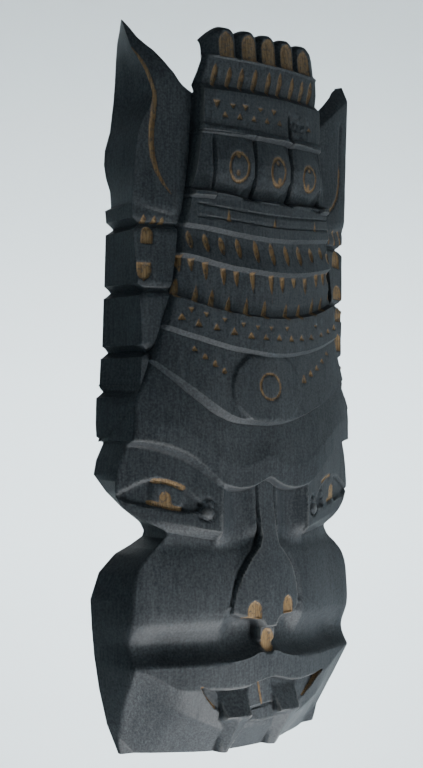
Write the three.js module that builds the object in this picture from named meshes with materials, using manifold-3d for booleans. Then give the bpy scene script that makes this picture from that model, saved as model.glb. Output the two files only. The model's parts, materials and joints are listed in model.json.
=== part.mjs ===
// Carved wooden tiki mask for a wall, in millimetres.
// X runs to the viewer's right, Z up, and the carved front faces -Y.
// The flat back lies on the plane Y = 0, and "depth" is the distance in front of it.
import * as THREE from 'three';
import { mergeVertices } from 'three/addons/utils/BufferGeometryUtils.js';
import Module from 'manifold-3d';

const wasm = await Module();
wasm.setup();

// Overall sizes
const TOP = 254;             // tips of the headdress fingers
const BOTTOM = -254;         // lowest point of the jaw
const BACK_HALF = 112;       // half width of the back at the cheeks
const ARRIS_HALF = 97.5;     // half width at the sharp edge between front and flank
const ARRIS_DEPTH = 34;
const CENTRE_DEPTH = 60;     // crown of the curved front
const MIN_DEPTH = 1;
const GAP = 0.3;             // glue line and running gaps
const REACH = 400;           // past the object on every side, for cutters

// Behind the headdress: it thins towards its top, and above the notches beside the ears its
// sides turn in towards the back
const REAR_START = 196;      // where the back begins to slope forward
const REAR_SLOPE = 0.52;     // depth lost per millimetre of height
const NOTCH_FLOOR = 206;     // foot of the notch between the headdress and an ear
const HEADDRESS = { halfWidth: 56, taper: 0.19, sideDepth: 45 }; // at the notch's foot
const UNDERCUT_SLOPE = 1.34; // depth per millimetre across
const SET_BACK = MIN_DEPTH + 0.5; // how far a rear cutter is moved behind the back plane

// Ear wings
const WING_INNER_DEPTH = 43; // where a wing meets the core
const WING_INNER_X = 62;
const DOWEL_RADIUS = 4;
const DOWEL_LENGTH = 30;
const DOWEL_HEIGHTS = [168, 78];
const DOWEL_DEPTH = 18;

// Hanger in its routed pocket
const POCKET = { halfWidth: 21, low: 122, high: 194, depth: 9 };
const RING_HEIGHT = 158;     // height of the ring's hinge line
const RING_WIRE = 1.2;       // wire radius
const RING_HALF = 11;
const RING_LEG = 5;
const STRAP = { halfWidth: 6, top: 186, thickness: 1.2, loopRadius: 2.7, boreRadius: 1.5 };
const SCREW = { heights: [167, 180.5], shank: 1.4, head: 3, headHeight: 1.5, length: 12 };
const RING_DEPTH = POCKET.depth - GAP - STRAP.loopRadius;

// ---- solids and booleans ----

function toSolid(geometry) {
  const clean = geometry.clone();
  for (const name of Object.keys(clean.attributes)) {
    if (name !== 'position') clean.deleteAttribute(name);
  }
  const merged = mergeVertices(clean, 1e-4);
  return new wasm.Manifold(new wasm.Mesh({
    numProp: 3,
    vertProperties: new Float32Array(merged.attributes.position.array),
    triVerts: new Uint32Array(merged.index.array),
  }));
}

function toGeometry(solid) {
  const mesh = solid.getMesh();
  const geometry = new THREE.BufferGeometry();
  geometry.setAttribute('position', new THREE.BufferAttribute(mesh.vertProperties, 3));
  geometry.setIndex(new THREE.BufferAttribute(mesh.triVerts, 1));
  geometry.computeVertexNormals();
  return geometry;
}

// A prism with its outline in the XZ plane, standing from one depth to another.
function prism(outline, near = -10, far = REACH / 2) {
  const shape = new THREE.Shape(outline.map(([x, z]) => new THREE.Vector2(x, z)));
  const geometry = new THREE.ExtrudeGeometry(shape, { depth: far - near, bevelEnabled: false });
  geometry.translate(0, 0, near);
  geometry.rotateX(Math.PI / 2);
  return toSolid(geometry);
}

function curve(points, divisions) {
  const spline = new THREE.SplineCurve(points.map(([x, z]) => new THREE.Vector2(x, z)));
  return spline.getPoints(divisions).map((p) => [p.x, p.y]);
}

const mirrored = (outline) => outline.map(([x, z]) => [-x, z]).reverse();
const bothSides = (half) => [...mirrored(half), ...half];

// A block whose front follows depthAt(x, z) over a grid of stations, never thinner than MIN_DEPTH.
function frontBlock(depthAt, xStops, zStops) {
  const geometry = new THREE.BoxGeometry(1, 1, 1, xStops.length - 1, 1, zStops.length - 1);
  const at = geometry.attributes.position;
  for (let i = 0; i < at.count; i += 1) {
    const x = xStops[Math.round((at.getX(i) + 0.5) * (xStops.length - 1))];
    const z = zStops[Math.round((at.getZ(i) + 0.5) * (zStops.length - 1))];
    const isFront = at.getY(i) < 0;
    at.setXYZ(i, x, isFront ? -Math.max(depthAt(x, z), MIN_DEPTH) : 0, z);
  }
  return toSolid(geometry);
}

function stops(from, to, count) {
  return Array.from({ length: count + 1 }, (_, i) => from + ((to - from) * i) / count);
}

// ---- the curved front ----

function dome(x) {
  const across = Math.min(Math.abs(x) / ARRIS_HALF, 1);
  return CENTRE_DEPTH - (CENTRE_DEPTH - ARRIS_DEPTH) * across ** 2;
}

function flank(x) {
  const past = Math.abs(x) - ARRIS_HALF;
  return ARRIS_DEPTH * (1 - past / (BACK_HALF - ARRIS_HALF));
}

const coreDepth = (x) => (Math.abs(x) <= ARRIS_HALF ? dome(x) : flank(x));

function wingDepth(x) {
  const slope = (WING_INNER_DEPTH - ARRIS_DEPTH) / (ARRIS_HALF - WING_INNER_X);
  const front = WING_INNER_DEPTH - slope * (Math.abs(x) - WING_INNER_X);
  return Math.abs(x) <= ARRIS_HALF ? front : flank(x);
}

const DOME_STOPS = [
  -BACK_HALF - 8, ...stops(-ARRIS_HALF, ARRIS_HALF, 12), BACK_HALF + 8,
];

// The dome lowered by `drop`, over the whole height.
function domeBlock(drop) {
  return frontBlock((x) => coreDepth(x) - drop, DOME_STOPS, [BOTTOM - 10, TOP + 10]);
}

// One carved level: everything inside the outline, standing `drop` below the dome.
const level = (outline, drop) => prism(outline).intersect(domeBlock(drop));

// Material to remove so that the outline sinks to `drop` below the dome.
const sunk = (outline, drop) => prism(outline).subtract(domeBlock(drop));

// A long thin outline of one width along a line of points.
function strip(points, width) {
  const left = [];
  const right = [];
  points.forEach(([x, z], i) => {
    const [ax, az] = points[Math.max(i - 1, 0)];
    const [bx, bz] = points[Math.min(i + 1, points.length - 1)];
    const length = Math.hypot(bx - ax, bz - az);
    const nx = (-(bz - az) / length) * (width / 2);
    const nz = ((bx - ax) / length) * (width / 2);
    left.push([x + nx, z + nz]);
    right.unshift([x - nx, z - nz]);
  });
  return [...right, ...left];
}

function ellipse(x, z, halfWide, halfTall, sides = 16) {
  return stops(0, 2 * Math.PI, sides).slice(0, -1)
    .map((a) => [x + halfWide * Math.cos(a), z + halfTall * Math.sin(a)]);
}

// ---- outlines in front view ----

// The glued seam between core and wing, from the wing's top down to the back edge.
const SEAM = [[57, 206], [62, 165], [66, 130], [69, 108], [75, 66], [82, 39], [92, 4], [106, -37]];

const CORE_SIDE = [[45, 251.5], [49.5, 246], [53, 229], ...SEAM];
const FACE_SIDE = [
  [101, -38], [110, -52], [110.5, -60], [101, -72], [88, -83], [76, -92], [72, -99],
  [76, -105], [93, -114], [105, -126], [111.5, -143], [109.5, -165], [108, -182],
  [104, -204], [97, -228], [88, -250], [60, -252.5], [0, BOTTOM],
];

function fingerTops() {
  const centres = [-35.5, -17.5, 0, 17.5, 35.5];
  return centres.flatMap((x) => [[x - 8.5, 251.5], [x - 4.5, 253.5], [x + 4.5, 253.5]]);
}

const coreOutline = [
  ...fingerTops(), ...CORE_SIDE, ...FACE_SIDE,
  ...mirrored(FACE_SIDE.slice(0, -1)), ...mirrored(CORE_SIDE),
];

// Each carved row of the headdress, by its lower edge: the edge's height at the centre and at
// the side, where its side is, and how far the row lies below the dome.
const ROWS = [
  { middle: 229.5, side: 230, reach: 52, drop: 1.5 }, // fingers
  { middle: 206.5, side: 206.5, reach: 57, drop: 3 }, // tall marks
  { middle: 178, side: 179, reach: 60, drop: 1 },     // triangles
  { middle: 132, side: 135, reach: 65, drop: 6 },     // bed of the three panels
  { middle: 106.5, side: 111, reach: 68, drop: 1.5 }, // engraved lines
  { middle: 81.5, side: 91, reach: 71, drop: 3 },     // slanted marks
  { middle: 50, side: 66, reach: 76, drop: 4.5 },     // paired marks
  { middle: 25, side: 43, reach: 80, drop: 2 },       // small triangles
  { middle: -24, side: 19, reach: 87, drop: 4 },      // forehead
];

function ledge({ middle, side, reach }) {
  return stops(-120, 120, 16).map((x) => {
    const across = Math.min(Math.abs(x) / reach, 1.15);
    return [x, middle + (side - middle) * across ** 1.8];
  });
}

const BROW_HALF = [
  [0, -64.5], [9, -68.5], [21, -71.5], [35, -69], [50, -59], [66, -48], [86, -40], [112, -36],
];
const browLine = () => bothSides(curve(BROW_HALF, 14)).filter(([x], i, all) => (
  i === 0 || Math.abs(x - all[i - 1][0]) > 0.01));

function between(upper, lower) {
  return [...lower, ...[...upper].reverse()];
}

// ---- the core: headdress, forehead and face ----

// How far the lower face lies below the dome at each height: cheeks, valley, lip and chin.
const FACE_LEVELS = [
  [-20, 9], [-72, 9], [-98, 9.5], [-108, 11], [-125, 8.5], [-145, 6], [-157, 6.5],
  [-164, 11], [-172, 16], [-180, 15], [-187, 8], [-206, 5.5], [-211, 10], [-222, 12],
  [-232, 13], [-256, 15],
];
const VALLEY_LEVELS = FACE_LEVELS.filter(([z]) => z < -160 && z > -186);

// The jaw is bevelled back below a line that climbs from the chin to the flank.
function jawBevel(x, z) {
  const start = -232 + Math.max(Math.abs(x) - 28, 0) * 0.42;
  return 0.5 * Math.max(start - z, 0);
}

function faceDepth(x, z) {
  const [, drop] = FACE_LEVELS.find(([height]) => height === z);
  const isSeptum = Math.abs(x) < 9 && VALLEY_LEVELS.some(([height]) => height === z);
  return coreDepth(x) - (isSeptum ? drop - 8 : drop) - jawBevel(x, z);
}

function faceBlock() {
  const heights = FACE_LEVELS.map(([z]) => z).reverse();
  return frontBlock(faceDepth, DOME_STOPS, heights);
}

const FANG = [[36, -207], [13, -207], [18.5, -254], [24, -254]];
const FANG_LEVELS = new Map([[-256, 25], [-230, 11], [-206, 14]]);

function fang(outline) {
  const depthAt = (x, z) => coreDepth(x) - FANG_LEVELS.get(z);
  return prism(outline).intersect(frontBlock(depthAt, DOME_STOPS, [...FANG_LEVELS.keys()]));
}

const NOSE = [
  [8.5, -60], [8, -90], [7.5, -106], [13, -115], [21, -128], [27, -142], [29, -154],
  [22, -158], [12, -157], [7.5, -168], [5, -184],
];
const EYE_PANEL = [[38, -60], [38, -98], [70, -94], [118, -84], [118, -34], [60, -44]];
const EYE = [
  [52, -81], [58, -72], [68, -65], [78, -61.5], [88, -62.5], [100, -69], [109, -74],
  [98, -77], [80, -80.5], [62, -82],
];
const UPPER_LIP = [
  [0, -186], [100, -186], [100, -203], [57, -206], [40, -208], [24, -205.5], [10, -203],
  [0, -202.5],
];
const PANELS = [{ from: -44, to: -12.5 }, { from: -10.5, to: 19 }, { from: 21, to: 52 }];

function panelOutline({ from, to }) {
  const low = 137;
  const high = 176;
  const corner = 7;
  return [
    [from + corner, low], [to - corner, low], [to, low + corner], [to, high - 3],
    [to - 3, high], [from + 3, high], [from, high - 3], [from, low + corner],
  ];
}

function headdress() {
  const top = stops(-120, 120, 16).map((x) => [x, TOP + 5]);
  const edges = [top, ...ROWS.map(ledge)];
  const rows = ROWS.map(({ drop }, i) => level(between(edges[i], edges[i + 1]), drop));
  const brow = level(between(edges.at(-1), browLine()), 0);
  const panels = PANELS.map((panel) => level(panelOutline(panel), -1));
  const boss = level(ellipse(0, 0, 31, 26), 2.5);
  return [...rows, brow, ...panels, boss];
}

function face() {
  const pieces = [level(bothSides(NOSE), 2), level(bothSides(UPPER_LIP), 5)];
  for (const side of [(outline) => outline, mirrored]) {
    pieces.push(level(side(EYE_PANEL), 6.5), level(side(EYE), 4.5), fang(side(FANG)));
    pieces.push(level(side(ellipse(48, -83, 6, 6, 12)), 4.5));
  }
  return pieces;
}

function carvedGrooves() {
  const rings = [
    [0, 2, 10, 10], [-28.5, 156, 8.5, 10.5], [4.5, 156, 7.5, 9.5], [37, 156, 8, 9.5],
  ];
  const cuts = rings.map(([x, z, wide, tall]) => (
    sunk(ellipse(x, z, wide, tall), 4).subtract(prism(ellipse(x, z, wide - 2.2, tall - 2.2)))));
  for (const x of [-26.5, -8.8, 8.8, 26.5]) {
    cuts.push(sunk([[x - 1.2, 231], [x + 1.2, 231], [x + 1.8, 256], [x - 1.8, 256]], 4));
  }
  cuts.push(sunk(strip([[-12, -221], [12, -221]], 1.6), 11));
  return cuts;
}

function dowelHole(side, height) {
  return rod(DOWEL_RADIUS + GAP, DOWEL_LENGTH + 2).rotate([0, 90, 0])
    .translate([side * seamX(height), -DOWEL_DEPTH, height]);
}

function pocketBlock() {
  const { halfWidth, low, high, depth } = POCKET;
  const shape = [[-halfWidth, low], [halfWidth, low], [halfWidth, high], [-halfWidth, high]];
  return prism(shape, -1, depth);
}

function rearCut(depthAt, low) {
  const heights = stops(low, TOP + 8, 4);
  return frontBlock((x, z) => depthAt(x, z) + SET_BACK, stops(-60, 60, 30), heights)
    .translate([0, SET_BACK, 0]);
}

const behindTop = (x, z) => REAR_SLOPE * (z - REAR_START);

function behindSides(x, z) {
  const halfWidth = HEADDRESS.halfWidth - HEADDRESS.taper * (z - NOTCH_FLOOR);
  return HEADDRESS.sideDepth - UNDERCUT_SLOPE * (halfWidth - Math.abs(x));
}

function coreCarving() {
  const carved = wasm.Manifold.union([...headdress(), ...face(), faceBlock()])
    .intersect(prism(coreOutline));
  const cuts = [
    ...carvedGrooves(), pocketBlock(),
    rearCut(behindTop, REAR_START), rearCut(behindSides, NOTCH_FLOOR),
  ];
  for (const side of [-1, 1]) {
    DOWEL_HEIGHTS.forEach((height) => cuts.push(dowelHole(side, height)));
  }
  for (const height of SCREW.heights) {
    cuts.push(rod(SCREW.shank + GAP, 2 * SCREW.length + 6).rotate([90, 0, 0])
      .translate([0, -POCKET.depth, height]));
  }
  return carved.subtract(wasm.Manifold.union(cuts));
}

// ---- ear wings ----

const LEAVES = {
  left: { tip: [[67, 212], [80, 226], [92, 240], [99.5, 254], [98, 236]], lean: 0.5 },
  right: { tip: [[67, 213], [80, 226], [92, 237.5], [98.5, 238]], lean: 0 },
};
const LEAN_START = 225;
const LINE_DEPTH = 2.5;
const LEAF_SIDE = [[97, 200], [101, 168], [101, 155], [98, 139], [93, 127]];
const BARS = [
  { high: 125, low: 110.8, edge: 100 }, { high: 108.8, low: 67.4, edge: 101 },
  { high: 65.8, low: 25.6, edge: 103.5 }, { high: 24, low: 1, edge: 106 },
  { high: -0.8, low: -33, edge: 108 },
];

function seamX(height) {
  const i = SEAM.findIndex(([, z]) => z <= height);
  const [[ax, az], [bx, bz]] = [SEAM[i - 1], SEAM[i]];
  return ax + ((bx - ax) * (az - height)) / (az - bz);
}

// Outer edge of the stacked bars, with a notch between each pair.
function barEdge() {
  const corner = 3;
  const notch = 7;
  const points = BARS.flatMap(({ high, low, edge }) => [
    [edge - notch, high + 0.5], [edge - corner, high], [edge, high - corner],
    [edge, low + corner], [edge - corner, low], [edge - notch, low - 0.5],
  ]);
  return points.slice(0, -2);
}

function wingOutline(tip) {
  const seam = SEAM.map(([x, z]) => [x + GAP, z]).reverse();
  return [...seam, ...tip, ...LEAF_SIDE, ...barEdge()];
}

const WING_LINE = [[97, 228], [91, 214], [88, 196], [90, 175], [89, 158], [84, 142], [76, 132]];

// `lean` is how far the front falls back towards the tip, per millimetre of height.
function earWing(side, { tip, lean }) {
  const turn = side < 0 ? mirrored : (outline) => outline;
  const depthAt = (x, z) => wingDepth(x) - lean * Math.max(z - LEAN_START, 0);
  const acrossStops = side < 0 ? [-BACK_HALF, -ARRIS_HALF, 0] : [0, ARRIS_HALF, BACK_HALF];
  const surface = frontBlock(depthAt, acrossStops, [BOTTOM, LEAN_START, TOP + 10]);
  const shallow = surface.translate([0, LINE_DEPTH, 0]);
  const blank = prism(turn(wingOutline(tip))).intersect(surface);
  const grooves = [prism(turn(strip(curve(WING_LINE, 12), LINE_DEPTH))).subtract(shallow)];
  for (const { low } of BARS.slice(0, -1)) {
    grooves.push(prism(turn([[60, low - 1.6], [96, low - 1.6], [96, low], [60, low]]))
      .subtract(shallow));
  }
  const holes = DOWEL_HEIGHTS.map((height) => dowelHole(side, height));
  return blank.subtract(wasm.Manifold.union([...grooves, ...holes]));
}

// ---- dowels and hanger ----

// A round bar centred on the origin, lying along Z.
function rod(radius, length, sides = 16) {
  const geometry = new THREE.CylinderGeometry(radius, radius, length, sides);
  geometry.rotateX(Math.PI / 2);
  return toSolid(geometry);
}

function hangerStrap() {
  const { halfWidth, top, thickness, loopRadius, boreRadius } = STRAP;
  const loop = rod(loopRadius, 2 * halfWidth, 20).rotate([0, 90, 0])
    .translate([0, -RING_DEPTH, RING_HEIGHT]);
  const floor = POCKET.depth - GAP;
  const outline = [
    [-halfWidth, RING_HEIGHT], [halfWidth, RING_HEIGHT], [halfWidth, top - 3],
    [halfWidth - 3, top], [-halfWidth + 3, top], [-halfWidth, top - 3],
  ];
  const plate = prism(outline, floor - thickness, floor);
  const cuts = [rod(boreRadius, 4 * halfWidth, 20).rotate([0, 90, 0])
    .translate([0, -RING_DEPTH, RING_HEIGHT])];
  for (const height of SCREW.heights) {
    cuts.push(rod(SCREW.shank + GAP, 20).rotate([90, 0, 0]).translate([0, -floor, height]));
  }
  return plate.add(loop).subtract(wasm.Manifold.union(cuts));
}

function hangerRing() {
  const legEnd = RING_HEIGHT - RING_LEG;
  const bow = new THREE.TorusGeometry(RING_HALF, RING_WIRE, 12, 32);
  bow.rotateX(Math.PI / 2);
  const half = toSolid(bow).intersect(prism([
    [-REACH, -REACH], [REACH, -REACH], [REACH, 0], [-REACH, 0],
  ], -10, 10));
  const parts = [half.translate([0, -RING_DEPTH, legEnd])];
  for (const side of [-1, 1]) {
    const corner = toSolid(new THREE.SphereGeometry(RING_WIRE, 12, 8));
    parts.push(rod(RING_WIRE, RING_LEG + 0.02, 12)
      .translate([side * RING_HALF, -RING_DEPTH, RING_HEIGHT - RING_LEG / 2]));
    parts.push(corner.translate([side * RING_HALF, -RING_DEPTH, RING_HEIGHT]));
  }
  parts.push(rod(RING_WIRE, 2 * RING_HALF, 12).rotate([0, 90, 0])
    .translate([0, -RING_DEPTH, RING_HEIGHT]));
  return wasm.Manifold.union(parts);
}

function hangerScrew(height) {
  const { shank, head, headHeight, length } = SCREW;
  const profile = [
    [0, -length], [shank * 0.4, -length + 1.5], [shank, -length + 4], [shank, 0],
    [head, 0], [head, headHeight * 0.4], [head * 0.6, headHeight], [0, headHeight],
  ];
  const geometry = new THREE.LatheGeometry(
    profile.map(([r, y]) => new THREE.Vector2(r, y)), 16);
  const seat = POCKET.depth - GAP - STRAP.thickness - GAP;
  return toSolid(geometry).translate([0, -seat, height]);
}

// ---- scene graph ----

const blackWood = () => new THREE.MeshStandardMaterial({
  color: 0x3d4145, roughness: 0.72, metalness: 0,
});
const paleWood = () => new THREE.MeshStandardMaterial({
  color: 0xc49a62, roughness: 0.7, metalness: 0,
});
const steel = () => new THREE.MeshStandardMaterial({
  color: 0xb8b6b0, roughness: 0.35, metalness: 0.9,
});

const group = new THREE.Group();

function place(name, solid, material) {
  const mesh = new THREE.Mesh(toGeometry(solid), material);
  mesh.name = name;
  group.add(mesh);
}

place('core_carving', coreCarving(), blackWood());
place('left_ear_wing', earWing(-1, LEAVES.left), blackWood());
place('right_ear_wing', earWing(1, LEAVES.right), blackWood());

const SIDES = [['left', -1], ['right', 1]];
const LEVELS = ['upper', 'lower'];
for (const [sideName, side] of SIDES) {
  DOWEL_HEIGHTS.forEach((height, i) => {
    const dowel = rod(DOWEL_RADIUS, DOWEL_LENGTH).rotate([0, 90, 0])
      .translate([side * seamX(height), -DOWEL_DEPTH, height]);
    place(`${sideName}_${LEVELS[i]}_dowel`, dowel, paleWood());
  });
}

place('hanger_strap', hangerStrap(), steel());
place('hanger_ring', hangerRing(), steel());
SCREW.heights.forEach((height, i) => {
  place(`hanger_screw_${i + 1}`, hangerScrew(height), steel());
});

export default group;
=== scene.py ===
"""Carved tiki wall mask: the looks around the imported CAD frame.

The carving is worked out in millimetres, as a depth in front of the flat back for every
point (x, z) of the front view, and turned into meshes in metres.
X runs to the viewer's right, Z up, and the carved front faces -Y.
"""
import json
import math

import bmesh
import bpy
import numpy as np
from mathutils import Matrix, Vector
from mathutils.geometry import tessellate_polygon

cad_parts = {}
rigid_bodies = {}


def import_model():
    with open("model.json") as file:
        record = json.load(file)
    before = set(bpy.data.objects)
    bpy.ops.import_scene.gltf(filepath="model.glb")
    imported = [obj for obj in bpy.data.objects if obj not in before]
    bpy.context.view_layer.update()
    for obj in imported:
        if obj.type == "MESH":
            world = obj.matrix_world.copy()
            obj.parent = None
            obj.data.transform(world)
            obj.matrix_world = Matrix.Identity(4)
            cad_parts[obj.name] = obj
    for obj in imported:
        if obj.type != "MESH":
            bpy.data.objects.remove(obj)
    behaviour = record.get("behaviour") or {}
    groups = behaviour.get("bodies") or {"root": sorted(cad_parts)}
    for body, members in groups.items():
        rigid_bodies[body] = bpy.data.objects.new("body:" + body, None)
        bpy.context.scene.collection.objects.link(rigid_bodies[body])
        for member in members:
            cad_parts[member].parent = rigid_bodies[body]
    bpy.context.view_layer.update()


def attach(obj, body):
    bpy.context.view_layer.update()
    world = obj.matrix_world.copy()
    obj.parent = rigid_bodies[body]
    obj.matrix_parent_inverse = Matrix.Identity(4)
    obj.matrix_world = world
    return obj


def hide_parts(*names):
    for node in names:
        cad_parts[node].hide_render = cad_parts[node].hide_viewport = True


MM = 0.001

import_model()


# ---- small maths ----

def smooth(low, high, value):
    t = np.clip((value - low) / (high - low), 0.0, 1.0)
    return t * t * (3.0 - 2.0 * t)


def ramp(value, points):
    """Straight-line interpolation through (position, result) points given in rising order."""
    at, result = zip(*points)
    return np.interp(value, at, result)


def curve(value, points):
    """A smooth curve through (position, result) points, flat past both ends."""
    at, result = (np.array(column, float) for column in zip(*points))
    slope = np.gradient(result, at)
    value = np.clip(value, at[0], at[-1])
    i = np.clip(np.searchsorted(at, value, side="right") - 1, 0, len(at) - 2)
    step = at[i + 1] - at[i]
    t = (value - at[i]) / step
    keep, rise = 2 * t**3 - 3 * t**2 + 1, t**3 - 2 * t**2 + t
    return (keep * result[i] + rise * step * slope[i] + (1 - keep) * result[i + 1]
            + (t**3 - t**2) * step * slope[i + 1])


def line_distance(x, z, points):
    """Distance from each (x, z) to a line of points."""
    best = np.full(np.shape(x), 1e9)
    for (ax, az), (bx, bz) in zip(points, points[1:]):
        dx, dz = bx - ax, bz - az
        t = np.clip(((x - ax) * dx + (z - az) * dz) / (dx * dx + dz * dz), 0, 1)
        best = np.minimum(best, np.hypot(x - ax - t * dx, z - az - t * dz))
    return best


def inside_distance(x, z, outline):
    """Distance to the edge of a closed outline, positive inside it."""
    inside = np.zeros(np.shape(x), bool)
    for (ax, az), (bx, bz) in zip(outline, outline[1:] + outline[:1]):
        crosses = (az > z) != (bz > z)
        with np.errstate(divide="ignore", invalid="ignore"):
            inside ^= crosses & (x < (bx - ax) * (z - az) / (bz - az) + ax)
    edge = line_distance(x, z, outline + outline[:1])
    return np.where(inside, edge, -edge)


def noise(x, z, size_x, size_z, seed):
    """Smooth value noise between -1 and 1, with cells of the given size."""
    table = np.random.default_rng(seed).uniform(-1, 1, (64, 64))
    fx, fz = x / size_x + 32.5, z / size_z + 32.5
    ix, iz = np.floor(fx).astype(int), np.floor(fz).astype(int)
    tx, tz = fx - ix, fz - iz
    tx, tz = tx * tx * (3 - 2 * tx), tz * tz * (3 - 2 * tz)
    corner = [[table[(ix + i) % 64, (iz + j) % 64] for j in (0, 1)] for i in (0, 1)]
    low = corner[0][0] * (1 - tx) + corner[1][0] * tx
    high = corner[0][1] * (1 - tx) + corner[1][1] * tx
    return low * (1 - tz) + high * tz


# ---- overall form, mm ----

CENTRE_DEPTH = 60
ARRIS_HALF = 97.5
ARRIS_DEPTH = 34
GLUE_GAP = 0.3
# Above the ear notches the headdress's sides turn in, and its back slopes forward.
NOTCH_FLOOR = 206
REAR_START, REAR_SLOPE = 196, 0.52
HEADDRESS_HALF, HEADDRESS_TAPER = 56, 0.19
HEADDRESS_SIDE_DEPTH, UNDERCUT_SLOPE = 45, 1.34

# Half widths along height: the line between the core and each ear, the core's front, its back
# below the ears, and the whole seam, which goes on down the flank.
SEAM_LINE = [
    (2, 92.5), (20, 86.5), (41.5, 80), (66, 74), (90, 70.5), (110, 68.4), (135, 64), (165, 58.5),
]
FRONT_HALF = [
    (-254, 87), (-250, 88.5), (-230, 93), (-215, 95.5), (-200, 96.5), (-140, 97.5), (-126.5, 95.5),
    (-117.5, 90), (-111, 83), (-104, 75), (-98, 72.5), (-93, 82), (-87, 94), (-78, 103),
    (-58, 105), (-45, 102), (-37, 99), (-20, 97.8), (-10, 97.5), *SEAM_LINE, (177, 56.5),
    (206.5, 56), (232, 52), (246, 49.5), (254, 45),
]
BACK_HALF = [
    (-254, 87), (-230, 97.5), (-205, 104), (-182, 108), (-163, 110), (-144, 111.2), (-126, 104.5),
    (-114, 91.5), (-108.5, 79), (-103, 69), (-99, 67.5), (-93, 71), (-82.5, 86), (-71, 99),
    (-59, 109), (-49, 107), (-38, 101.5),
]
SEAM = [(-60, 130), (-37, 105), (-15, 98.5), *SEAM_LINE, (206, 56)]


def dome(x):
    """The front's overall curve, from the crown to the sharp edge at each side."""
    across = np.minimum(np.abs(x) / ARRIS_HALF, 1.15)
    return CENTRE_DEPTH - (CENTRE_DEPTH - ARRIS_DEPTH) * across**2


# ---- carved lines of the headdress, as height along x ----

CROWN = 253.7
FINGERS = [-36.0, -17.5, -0.5, 17.0, 35.0]
FURROWS = [-26.7, -9.0, 8.3, 26.0]
CORNER_START = 37


def nearest(x, places):
    return np.min(np.abs(np.expand_dims(x, -1) - places), axis=-1)


def finger_tops(x):
    """The scalloped top edge: five finger tips, and a rounded corner at each side."""
    scallop = CROWN - 3.0 * np.minimum(nearest(x, FINGERS) / 8.8, 1.3) ** 2
    corner = CROWN - 8.5 * (np.maximum(np.abs(x) - CORNER_START, 0) / 12.5) ** 2
    return np.where(np.abs(x) > CORNER_START, corner, scallop)


LINES = {
    "finger_line": [(-60, 230.5), (0, 229.5), (60, 229.5)],
    "tall_marks": [(-60, 206.5), (0, 206.5), (60, 206.5)],
    "bead": [(-60, 179), (-20, 178), (20, 177), (60, 178.5)],
    "panel_bottom": [(-68, 134.5), (-40, 134), (-15, 131.5), (15, 131.5), (40, 133), (64, 135)],
    "band_1": [
        (-72, 112), (-50, 109.8), (-30, 107.2), (-10, 105.6), (10, 105.6), (30, 107), (50, 109.8),
        (70, 113)],
    "band_2": [
        (-74, 91.5), (-60, 89.4), (-45, 86), (-30, 83.5), (-10, 81.8), (10, 81.5), (30, 83),
        (50, 86.5), (74, 92)],
    "dark_ledge": [
        (-78, 65), (-65, 60.6), (-50, 56.6), (-35, 53.4), (-20, 51.4), (0, 50.4), (20, 51.4),
        (35, 53.6), (50, 57), (65, 62.5), (80, 68)],
    "band_3": [
        (-84, 43), (-70, 38.4), (-55, 34), (-40, 30), (-25, 27), (-10, 25), (5, 24.2), (20, 25),
        (35, 27.5), (50, 31), (65, 36), (84, 44)],
    "band_4": [
        (-96, 26), (-88, 19), (-70, 5), (-55, -6.5), (-42, -15.5), (-30, -21), (-15, -23.4),
        (0, -24), (15, -22.6), (30, -19), (45, -13.6), (60, -7.6), (75, 1), (88, 10), (96, 16)],
    "brow": [
        (-112, -36), (-100, -37.5), (-88, -38.5), (-76, -41.5), (-65, -46), (-56, -51.5),
        (-48, -58.5), (-42, -64), (-36, -67.5), (-28, -69.5), (-20, -69.5), (-12, -67.5),
        (-6, -64.5), (-2, -62.5), (2, -63), (8, -66.5), (15, -69), (25, -70), (35, -68),
        (45, -63.5), (52, -58.5), (60, -52.5), (68, -46.5), (76, -41.5), (85, -38), (98, -35.5),
        (112, -34)],
}
# Half height of the bevel under the two lines that are wider on one side.
BEVELS = {
    "band_4": [(-96, 0.6), (-75, 1.8), (-60, 2.8), (-45, 3.0), (-30, 2.0), (0, 1.3), (96, 0.8)],
    "brow": [(-112, 2.4), (-60, 2.9), (-45, 2.4), (-25, 1.7), (25, 1.5), (50, 1.1), (112, 0.9)],
}


def line_height(name, x):
    if name == "top":
        return finger_tops(x)
    wobble = 0.22 * noise(x, 0 * x, 5.0, 1.0, len(name)) * (name != "brow")
    return curve(x, LINES[name]) + wobble


# The headdress from top to bottom. Each line has its knots: height above it (or share of its
# bevel), offset from the dome, and the spacing of the mesh rows down to the next knot.
PROFILE = [(line, *knot) for line, knots in {
    "top": [(0, -7.0, 0.5), (-1.2, -3.6, 0.6), (-4, -1.4, 1.1)],
    "finger_line": [(5, -0.2, 0.9), (0.8, 0.6, 0.5), (-0.6, -1.0, 1.0)],
    "tall_marks": [(13, -2.0, 0.9), (5, -4.4, 0.7), (0.6, 0.1, 0.6), (-2, 0.3, 1.0)],
    "bead": [(4.5, -0.5, 0.7), (2.2, 1.0, 0.5), (0.2, 1.1, 0.5), (-2.4, -5.6, 1.0)],
    "panel_bottom": [(3.5, -7.4, 0.6), (0.4, 0, 0.5), (-2, 0.3, 1.0)],
    "band_1": [(1.5, 0.8, 0.5), (-1.2, -3.0, 0.9), (-7, -2.6, 1.0)],
    "band_2": [(1.6, 0.5, 0.5), (-1.3, -3.4, 1.0)],
    "dark_ledge": [(9, -3.2, 0.9), (1.5, -4.4, 0.5), (-0.4, 0.2, 0.8)],
    "band_3": [(1.5, 0.6, 0.5), (-1.4, -3.2, 1.4)],
    "band_4": [(1.0, 0.4, 0.7), (-1.0, -3.6, 1.6), (-12, -1.6, 1.8)],
    "brow": [(16, 0.8, 1.4), (1.0, 0.4, 0.75)],
}.items() for knot in knots]


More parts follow.
